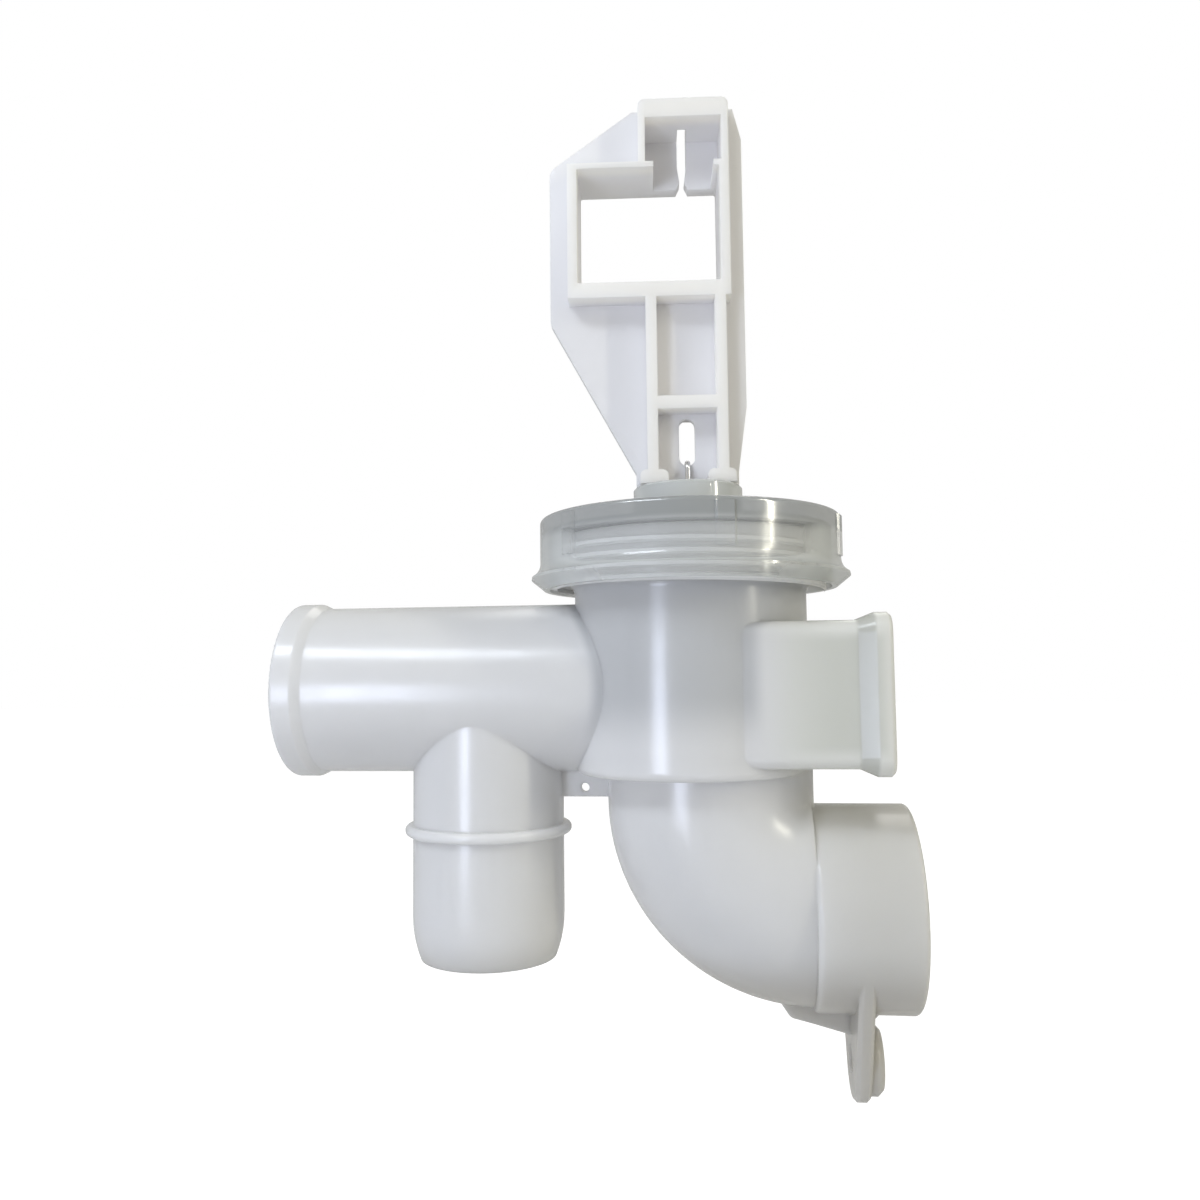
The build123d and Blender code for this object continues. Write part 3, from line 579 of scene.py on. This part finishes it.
def moulded(name, first, second, rough, depth, glow, soft=0.0, shades=()):
    """Moulded plastic: cloudy tint, slight unevenness, light scattered under the surface."""
    material, tree, shader = node_material(name)
    where = position(tree)
    colour = tint(tree, spread(tree, noise(tree, where, CLOUD_SCALE)), first, second)
    for shade, shaded in shades:
        colour = tint(tree, shade(tree, where), colour, shaded)
    tree.links.new(colour, shader.inputs["Base Color"])
    patches = spread(tree, noise(tree, where, PATCH_SCALE), rough - ROUGH_LESS, rough + ROUGH_MORE)
    tree.links.new(patches, shader.inputs["Roughness"])
    edge = round_edge(tree, soft) if soft else None
    wavy = bump(tree, noise(tree, where, WAVE_SCALE, WAVE_DETAIL), WAVE_SHARE, WAVE_DEPTH, edge)
    fine = bump(tree, noise(tree, where, GRAIN_SCALE, GRAIN_DETAIL), GRAIN_SHARE, GRAIN_DEPTH, wavy)
    tree.links.new(fine, shader.inputs["Normal"])
    shader.inputs["Subsurface Weight"].default_value = glow
    shader.inputs["Subsurface Scale"].default_value = depth
    shader.inputs["Subsurface Radius"].default_value = (1.0, 1.0, 1.0)
    shader.inputs["IOR"].default_value = PLASTIC_IOR
    return material


def half_clear():
    """Half clear plastic of the cap, denser in its thick top and seen edge on, with painted shade there.
    """
    material, tree, shader = node_material("cap_plastic_clear")
    where = position(tree)
    z = x_and_z(tree, where)[1]
    facing = tree.nodes.new("ShaderNodeLayerWeight")
    facing.inputs["Blend"].default_value = 0.5
    edge_on = falloff(tree, facing.outputs["Facing"], EDGE_ON_START, EDGE_ON_FULL)
    thick = falloff(tree, z, CAP_TOP_LOW, CAP_TOP_HIGH)
    collar = falloff(tree, z, COLLAR_LOW, COLLAR_HIGH)
    colour = tint(tree, spread(tree, noise(tree, where, CLOUD_SCALE)), CAP_TINT, CAP_CLOUD)
    # Painted shade: darker where seen edge on, partly the denser plastic there and partly shade, and on
    # the top for the dark rubber rim behind it
    for share, shaded in ((edge_on, CAP_EDGE_SHADE_TINT), (thick, CAP_TOP_SHADE_TINT), (collar, CAP_TINT_COLLAR)):
        colour = tint(tree, share, colour, shaded)
    tree.links.new(colour, shader.inputs["Base Color"])
    dense = maths(tree, "MAXIMUM", thick, edge_on)
    tree.links.new(spread(tree, dense, CAP_ALPHA, CAP_ALPHA_DENSE), shader.inputs["Alpha"])
    patches = spread(tree, noise(tree, where, PATCH_SCALE), *CAP_ROUGH)
    tree.links.new(patches, shader.inputs["Roughness"])
    wavy = bump(tree, noise(tree, where, WAVE_SCALE, WAVE_DETAIL), WAVE_SHARE, CAP_WAVE_DEPTH)
    tree.links.new(wavy, shader.inputs["Normal"])
    shader.inputs["IOR"].default_value = CAP_GLOSS_IOR
    return material


def rubber_material():
    """Dark soft rubber with a dull, slightly dusty surface."""
    material, tree, shader = node_material("black_rubber_soft")
    where = position(tree)
    dust = spread(tree, noise(tree, where, DUST_SCALE, FINE_DETAIL))
    tree.links.new(tint(tree, dust, RUBBER_TINT, RUBBER_DUST), shader.inputs["Base Color"])
    patches = spread(tree, noise(tree, where, RUBBER_PATCH_SCALE), *RUBBER_ROUGH)
    tree.links.new(patches, shader.inputs["Roughness"])
    grain = bump(tree, noise(tree, where, RUBBER_GRAIN_SCALE), RUBBER_GRAIN_SHARE, RUBBER_GRAIN_DEPTH)
    tree.links.new(grain, shader.inputs["Normal"])
    return material


def wire_material():
    """Bright drawn spring wire with fine draw marks."""
    material, tree, shader = node_material("drawn_wire")
    where = position(tree)
    marks = spread(tree, noise(tree, where, DRAW_MARK_SCALE, FINE_DETAIL))
    tree.links.new(tint(tree, marks, WIRE_TINT, WIRE_BRIGHT), shader.inputs["Base Color"])
    patches = spread(tree, noise(tree, where, WIRE_PATCH_SCALE), *WIRE_ROUGH)
    tree.links.new(patches, shader.inputs["Roughness"])
    shader.inputs["Metallic"].default_value = 1.0
    return material


def set_material(piece, material):
    """Only material of a piece, on the object so that a CAD mesh stays as it is."""
    if not piece.material_slots:
        piece.data.materials.append(material)
    for each in piece.material_slots:
        each.link = "OBJECT"
        each.material = material


# The order of the body's tints, painted shade and painted light, counts, as each one covers those before
# it
BODY_SHADES = [
    (port_painted_shade, PORT_SHADE_TINT),
    (chamber_painted_shade, CHAMBER_SHADE_TINT),
    (hollow_painted_shade, HOLLOW_SHADE_TINT),
    (flare_painted_shade, FLARE_SHADE_TINT),
    (neck_painted_light, NECK_LIGHT_TINT),
    (socket_painted_shade, SOCKET_SHADE_TINT),
    (low_end_painted_shade, EAR_SHADE_TINT),
]
BODY_PLASTIC = moulded("natural_plastic_milky", BODY_TINT, BODY_CLOUD, rough=0.225, depth=5 * MM,
                       glow=0.9, soft=0.7 * MM, shades=BODY_SHADES)
# Painted light: the thread is paler than the body, for its lit crests seen through the cap
THREAD_PLASTIC = moulded("natural_plastic_thread", THREAD_LIT_TINT, THREAD_LIT_CLOUD, rough=0.225,
                         depth=1 * MM, glow=0.0)
CAP_PLASTIC = half_clear()
# Painted shade darkens the lever's sheet between its ribs
LEVER_PLASTIC = moulded("lever_plastic_white", LEVER_TINT, LEVER_CLOUD, rough=0.34, depth=3 * MM,
                        glow=0.85, shades=[(sheet_painted_shade, SHEET_SHADE_TINT)])
SLEEVE_PLASTIC = moulded("sleeve_plastic", SLEEVE_TINT, SLEEVE_CLOUD, rough=0.4, depth=2 * MM, glow=0.2)
RUBBER = rubber_material()
WIRE = wire_material()


def make_thread():
    """Screw ridge on the neck, of one start, that fades out at both ends."""
    bm = bmesh.new()
    steps = THREAD_STEPS * THREAD_TURNS
    half = THREAD_W / 2
    root = NECK_R - THREAD_SINK
    rings = []
    for i in range(steps + 1):
        angle = 2 * pi * i / THREAD_STEPS
        z = RIM_Z - THREAD_DROP - THREAD_PITCH * i / THREAD_STEPS
        fade = min(1.0, i / THREAD_FADE_STEPS, (steps - i) / THREAD_FADE_STEPS)
        crest = NECK_R + (THREAD_R - NECK_R) * fade
        section = [(root, z - half), (crest, z - half / 2), (crest, z + half / 2), (root, z + half)]
        rings.append([bm.verts.new((VALVE_X + r * cos(angle), r * sin(angle), h)) for r, h in section])
    skin(bm, rings, False)
    close_ends(bm, rings)
    thread = new_object("neck_thread", bm, smooth=False)
    set_material(thread, THREAD_PLASTIC)
    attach(thread, "housing")


def make_round_outer_spring():
    """Round wire of the closing spring, between the cap and the sleeve."""
    coil_r = (COIL_HIGH.x - COIL_LOW.x) / 2 - OUTER_WIRE_R
    low = COIL_LOW.z + OUTER_WIRE_R
    high = COIL_HIGH.z - OUTER_WIRE_R
    closed = 2 * OUTER_WIRE_R + END_COIL_GAP
    points = []
    for i in range(OUTER_TURNS * OUTER_STEPS + 1):
        turn = i / OUTER_STEPS
        if turn < 1:
            z = low + closed * turn
        elif turn > OUTER_TURNS - 1:
            z = high - closed * (OUTER_TURNS - turn)
        else:
            z = low + closed + (high - low - 2 * closed) * (turn - 1) / (OUTER_TURNS - 2)
        angle = 2 * pi * turn
        points.append(Vector((VALVE_X + coil_r * cos(angle), coil_r * sin(angle), z)))
    spring = tube("closing_spring", points, OUTER_WIRE_R)
    set_material(spring, WIRE)
    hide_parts("outer_spring")
    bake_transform(spring)


def place(x, y, z):
    """Point beside the valve axis, turned with the lever."""
    turned_x = VALVE_X + x * cos(LEVER_YAW) - y * sin(LEVER_YAW)
    turned_y = x * sin(LEVER_YAW) + y * cos(LEVER_YAW)
    return Vector((turned_x, turned_y, z))


def bar_ring():
    """Open ring of wire round the sleeve's bar."""
    radius = BAR_R + INNER_WIRE_R + BAR_GAP
    angles = sweep(90, 390, RING_STEPS)
    return [place(radius * cos(angle), 0, BAR_Z + radius * sin(angle)) for angle in angles]


def lever_coil():
    """Coil of the lever's spring, which starts at its front."""
    steps = INNER_TURNS * INNER_STEPS
    points = []
    for i in range(steps + 1):
        angle = 2 * pi * i / INNER_STEPS - pi / 2
        z = INNER_LOW + (INNER_HIGH - INNER_LOW) * i / steps
        points.append(place(INNER_COIL_R * cos(angle), INNER_COIL_R * sin(angle), z))
    return points


def slot_hook():
    """Hook that goes up before the lever, back through its slot and down behind it."""
    top = SLOT_LOW_Z + INNER_WIRE_R
    points = [place(0, -HOOK_HALF, HOOK_FOOT_Z)]
    for angle in sweep(0, 90, HOOK_BEND_STEPS):
        y = -HOOK_HALF + HOOK_BEND_R * (1 - cos(angle))
        points.append(place(0, y, top - HOOK_BEND_R * (1 - sin(angle))))
    for angle in sweep(0, 90, HOOK_BEND_STEPS):
        y = HOOK_HALF - HOOK_BEND_R * (1 - sin(angle))
        points.append(place(0, y, top - HOOK_BEND_R * (1 - cos(angle))))
    points.append(place(0, HOOK_HALF, HOOK_TAIL_Z))
    return points


def lead_between(first, middle, last):
    """Smooth run of wire from the end of one stretch through a point to the start of the next."""
    points = curve([first[-2], first[-1], place(*middle), last[0], last[1]], LEAD_STEPS)
    return points[LEAD_STEPS:-LEAD_STEPS]


def make_round_inner_spring():
    """Round wire of the lever's spring, from the sleeve's bar up to the lever's slot."""
    ring, coil, hook = bar_ring(), lever_coil(), slot_hook()
    tail = lead_between(ring, LOW_LEAD, coil)
    lead = lead_between(coil, HIGH_LEAD, hook)
    spring = tube("lever_spring", ring[:-1] + tail[:-1] + coil[:-1] + lead[:-1] + hook, INNER_WIRE_R)
    set_material(spring, WIRE)
    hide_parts("inner_spring")
    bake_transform(spring)


def make_round_bellows():
    """Rubber seal with rounded folds, between the clamped rim and the plug."""
    step = (FOLD_HIGH_Z - FOLD_LOW_Z) / (2 * FOLD_COUNT)
    inside = []
    outside = []
    for i in range(2 * FOLD_COUNT + 1):
        z = FOLD_LOW_Z + i * step
        out = i % 2 == 1
        inside.append((FOLD_OUT_R - RUBBER_T if out else FOLD_IN_R, z))
        outside.append((FOLD_OUT_R if out else FOLD_IN_R + RUBBER_T, z))
    plug_low = SEAL_LOW.z
    plug_high = plug_low + PLUG_T
    clamp_r = (SEAL_HIGH.x - SEAL_LOW.x) / 2
    plug = [(AXIS_GAP, plug_low), (PLUG_R, plug_low), (PLUG_R, plug_high),
            (outside[0][0], FOLD_LOW_Z - FOLD_FOOT)]
    rim = [(outside[-1][0], RIM_Z), (clamp_r, RIM_Z), (clamp_r, SEAL_HIGH.z), (inside[-1][0], SEAL_HIGH.z)]
    seat = [(inside[0][0], GROOVE_HIGH_Z), (GROOVE_R, GROOVE_HIGH_Z), (GROOVE_R, GROOVE_LOW_Z),
            (SLEEVE_FLANGE_R, GROOVE_LOW_Z), (SLEEVE_FLANGE_R, plug_high), (AXIS_GAP, plug_high)]
    outline = round_corners(plug + outside + rim + inside[::-1] + seat, PLUG_ROUND)
    seal = lathe("rubber_bellows", outline, BELLOWS_SEGMENTS)
    set_material(seal, RUBBER)
    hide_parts("bellows_seal")
    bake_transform(seal)


def block_corners(bm):
    """Edges at the two top corners of the lever's block, which run from its front to its back."""
    across = Vector((cos(LEVER_YAW), sin(LEVER_YAW), 0))
    depth = Vector((-sin(LEVER_YAW), cos(LEVER_YAW), 0))
    found = []
    for edge in bm.edges:
        ends = [v.co - Vector((VALVE_X, 0, 0)) for v in edge.verts]
        along = (ends[1] - ends[0]).normalized()
        at_side = all(abs(abs(e.dot(across)) - BLOCK_HALF_W) < SAME_PLACE for e in ends)
        at_top = all(LEVER_TOP - e.z < SAME_PLACE for e in ends)
        if at_side and at_top and abs(along.dot(depth)) > NEARLY_ALONG:
            found.append(edge)
    return found


def make_soft_lever():
    """Lever with the small round edges of a moulding."""
    node = frame["nodes"]["pull_lever"]
    bm = bmesh.new()
    bm.from_mesh(node.data)
    bmesh.ops.transform(bm, matrix=node.matrix_world, verts=bm.verts)
    bmesh.ops.remove_doubles(bm, verts=bm.verts, dist=SAME_POINT)
    bmesh.ops.dissolve_limit(bm, angle_limit=FLAT_ANGLE, verts=bm.verts, edges=bm.edges)
    bmesh.ops.bevel(bm, geom=block_corners(bm), offset=BLOCK_CORNER_R, offset_type="OFFSET",
                    segments=BLOCK_CORNER_STEPS, profile=0.5, affect="EDGES")
    sharp = [e for e in bm.edges if len(e.link_faces) == 2 and e.calc_face_angle() > SHARP_ANGLE]
    bmesh.ops.bevel(bm, geom=sharp, offset=LEVER_EDGE, offset_type="OFFSET", segments=LEVER_EDGE_STEPS,
                    profile=0.5, affect="EDGES", clamp_overlap=True)
    lever = new_object("soft_lever", bm)
    set_material(lever, LEVER_PLASTIC)
    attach(lever, "lever")
    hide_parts("pull_lever")


set_material(frame["nodes"]["valve_body"], BODY_PLASTIC)
set_material(frame["nodes"]["bonnet"], CAP_PLASTIC)
set_material(frame["nodes"]["guide_sleeve"], SLEEVE_PLASTIC)
make_thread()
make_round_outer_spring()
make_round_inner_spring()
make_round_bellows()
make_soft_lever()


def make_camera():
    """Camera at the photograph's angle and distance."""
    data = bpy.data.cameras.new("photo_camera")
    data.lens = CAMERA_LENS
    data.sensor_width = CAMERA_SENSOR
    data.clip_start = CAMERA_NEAR
    camera = bpy.data.objects.new("photo_camera", data)
    turn = Matrix((CAMERA_RIGHT, CAMERA_UP, CAMERA_BACK)).transposed()
    camera.matrix_world = Matrix.Translation(CAMERA_AT) @ turn.to_4x4()
    bpy.context.scene.collection.objects.link(camera)
    bpy.context.scene.camera = camera


def make_light(name, azimuth, elevation, distance, width, height, power, colour):
    """Soft lamp seen from the object at an angle from the camera's direction."""
    right, up, back = Vector(CAMERA_RIGHT), Vector(CAMERA_UP), Vector(CAMERA_BACK)
    middle = Vector(((BODY_LOW.x + BODY_HIGH.x) / 2, 0, (BODY_LOW.z + LEVER_TOP) / 2))
    flat = back * cos(radians(azimuth)) + right * sin(radians(azimuth))
    towards = flat * cos(radians(elevation)) + up * sin(radians(elevation))
    data = bpy.data.lights.new(name, "AREA")
    data.shape = "RECTANGLE"
    data.size = width
    data.size_y = height
    data.energy = power
    data.color = colour
    lamp = bpy.data.objects.new(name, data)
    lamp.location = middle + towards * distance
    lamp.rotation_euler = towards.to_track_quat("Z", "Y").to_euler()
    bpy.context.scene.collection.objects.link(lamp)


def white_seen(tree):
    """1 for a camera ray, and a part of it for a glossy or transmitted one."""
    path = tree.nodes.new("ShaderNodeLightPath")
    through = maths(tree, "MAXIMUM", path.outputs["Is Glossy Ray"], path.outputs["Is Transmission Ray"])
    through = maths(tree, "MULTIPLY", through, GLOSS_SHARE)
    return maths(tree, "MAXIMUM", path.outputs["Is Camera Ray"], through)


def mixed(tree, share, lit, white, output):
    """Output node that takes a lit surface or room, and a share of plain white."""
    mix = tree.nodes.new("ShaderNodeMixShader")
    tree.links.new(share, mix.inputs["Fac"])
    tree.links.new(lit.outputs[0], mix.inputs[1])
    tree.links.new(white.outputs[0], mix.inputs[2])
    tree.links.new(mix.outputs[0], tree.nodes.new(output).inputs["Surface"])


def coloured(tree, kind, colour):
    """Shader node of a kind, with its colour."""
    node = tree.nodes.new(kind)
    node.inputs["Color"].default_value = (*colour, 1)
    return node


def make_floor():
    """Plain pale floor under the part."""
    bm = bmesh.new()
    z = BODY_LOW.z - FLOOR_DROP
    corners = ((-1, -1), (1, -1), (1, 1), (-1, 1))
    bm.faces.new([bm.verts.new((x * FLOOR_HALF, y * FLOOR_HALF, z)) for x, y in corners])
    floor = new_object("floor", bm, smooth=False)
    material = bpy.data.materials.new("pale_floor")
    material.use_nodes = True
    tree = material.node_tree
    tree.nodes.clear()
    lit = coloured(tree, "ShaderNodeBsdfDiffuse", FLOOR_COLOUR)
    white = coloured(tree, "ShaderNodeEmission", WHITE)
    white.inputs["Strength"].default_value = FLOOR_WHITE
    share = maths(tree, "MULTIPLY", white_seen(tree), FLOOR_SHARE)
    mixed(tree, share, lit, white, "ShaderNodeOutputMaterial")
    floor.data.materials.append(material)


def make_world():
    """Dim pale room that looks white to the camera."""
    world = bpy.data.worlds.new("pale_room")
    bpy.context.scene.world = world
    world.use_nodes = True
    tree = world.node_tree
    tree.nodes.clear()
    room = coloured(tree, "ShaderNodeBackground", ROOM_COLOUR)
    room.inputs["Strength"].default_value = ROOM_LEVEL
    white = coloured(tree, "ShaderNodeBackground", WHITE)
    mixed(tree, white_seen(tree), room, white, "ShaderNodeOutputWorld")


make_camera()
make_floor()
make_world()
make_light("window_high", azimuth=-44, elevation=46, distance=0.6, width=0.30, height=0.115,
           power=1.38, colour=(0.86, 0.92, 1.0))
make_light("window_low", azimuth=-32, elevation=-6, distance=0.5, width=0.10, height=0.21,
           power=0.98, colour=(0.75, 0.815, 1.0))
make_light("strip_right", azimuth=58, elevation=22, distance=0.6, width=0.022, height=0.32,
           power=0.95, colour=(1.0, 0.97, 0.82))
make_light("room_back", azimuth=172, elevation=52, distance=0.9, width=0.5, height=0.4,
           power=1.5, colour=(1.0, 0.99, 0.96))
bpy.context.scene.view_settings.view_transform = "Standard"

bpy.context.view_layer.update()
